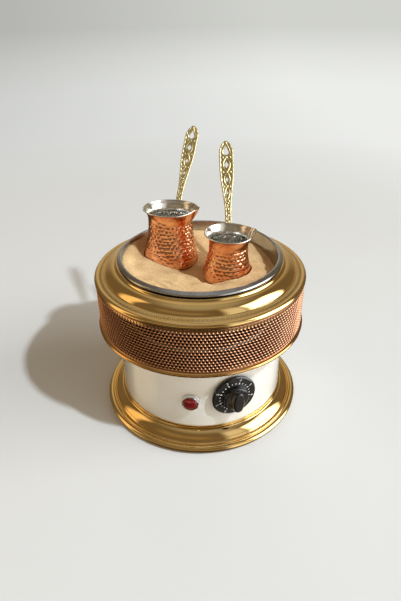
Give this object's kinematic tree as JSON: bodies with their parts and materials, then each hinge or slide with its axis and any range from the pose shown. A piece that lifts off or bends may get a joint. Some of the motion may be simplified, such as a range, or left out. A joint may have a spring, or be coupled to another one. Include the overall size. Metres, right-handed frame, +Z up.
{
  "type": "sand coffee heater with cezves",
  "caption": "Round electric heater with a bowl of hot sand in which long-handled copper coffee pots stand to brew.",
  "frame": {"origin": "on the floor under the axis of the round housing", "axes": "+Z up along the housing's axis; the knob and lamp face -Y; +X to the right seen from the front"},
  "size_m": [0.2726, 0.2745, 0.3444],
  "materials": {
    "polished_brass": "polished",
    "trim_brass": "polished",
    "rose_brass": "satin, perforated",
    "enamel": "gloss enamel",
    "zinc_sheet": "zinc plated sheet",
    "fastener_steel": "zinc plated",
    "black_rubber": "matte",
    "mineral_wool": "compressed mineral wool",
    "bright_steel": "satin stainless",
    "cast_plate": "cast",
    "element_sheath": "heat tinted",
    "capillary_copper": "drawn copper",
    "ceramic_cream": "unglazed",
    "knob_black": "gloss",
    "black_plastic": "matte",
    "bezel_chrome": "bright",
    "red_lens": "clear red",
    "wire_sleeve": "braided glass sleeve",
    "sand": "fine grain",
    "hammered_copper": "hammered and polished, tinned inside",
    "cast_brass": "cast openwork",
    "rivet_copper": "hammered"
  },
  "bodies": {
    "housing": {"base_ring": "polished_brass", "base_pan": "zinc_sheet", "rubber_feet": "black_rubber", "foot_screws": "fastener_steel", "foot_nuts": "fastener_steel", "base_screws": "fastener_steel", "base_nuts": "fastener_steel", "drum_shell": "enamel", "deck_plate": "zinc_sheet", "deck_screws": "fastener_steel", "deck_nuts": "fastener_steel", "trim_ring": "trim_brass", "perforated_band": "rose_brass", "support_ring": "zinc_sheet", "spacer_tubes": "fastener_steel", "tie_rods": "fastener_steel", "tie_nuts": "fastener_steel", "top_ring": "polished_brass", "insulation_disc": "mineral_wool", "heat_shield": "bright_steel", "plate_pillars": "fastener_steel", "pillar_screws": "fastener_steel", "hot_plate": "cast_plate", "heating_element": "element_sheath", "element_clamp": "fastener_steel", "clamp_bolt": "fastener_steel", "thermostat_bulb": "capillary_copper", "thermostat_body": "ceramic_cream", "thermostat_screws": "fastener_steel", "pilot_body": "black_plastic", "pilot_nut": "zinc_sheet", "pilot_bezel": "bezel_chrome", "pilot_lens": "red_lens", "terminal_block": "ceramic_cream", "terminal_screws": "fastener_steel", "earth_screw": "trim_brass", "wiring": "wire_sleeve", "cable_grommet": "black_rubber"},
    "knob": {"knob": "knob_black", "thermostat_shaft": "fastener_steel"},
    "bowl": {"sand_bowl": "bright_steel", "sand": "sand"},
    "large_cezve": {"large_pot": "hammered_copper", "large_handle": "cast_brass", "large_rivets": "rivet_copper"},
    "small_cezve": {"small_pot": "hammered_copper", "small_handle": "cast_brass", "small_rivets": "rivet_copper"}
  },
  "joints": [
    {"name": "knob_turn", "type": "hinge", "parent": "housing", "child": "knob", "pos_m": [0.02685, -0.1077, 0.074], "axis": [-0.2419, 0.9703, 0], "range_deg": [0, 270]},
    {"name": "bowl_lift", "type": "slide", "parent": "housing", "child": "bowl", "axis": [0, 0, 1], "range_m": [0, 0.08]},
    {"name": "large_cezve_lift", "type": "slide", "parent": "bowl", "child": "large_cezve", "axis": [0.0358, 0.052, 0.998], "range_m": [0, 0.08]},
    {"name": "small_cezve_lift", "type": "slide", "parent": "bowl", "child": "small_cezve", "axis": [0.0309, -0.007, 0.9995], "range_m": [0, 0.08]}
  ]
}
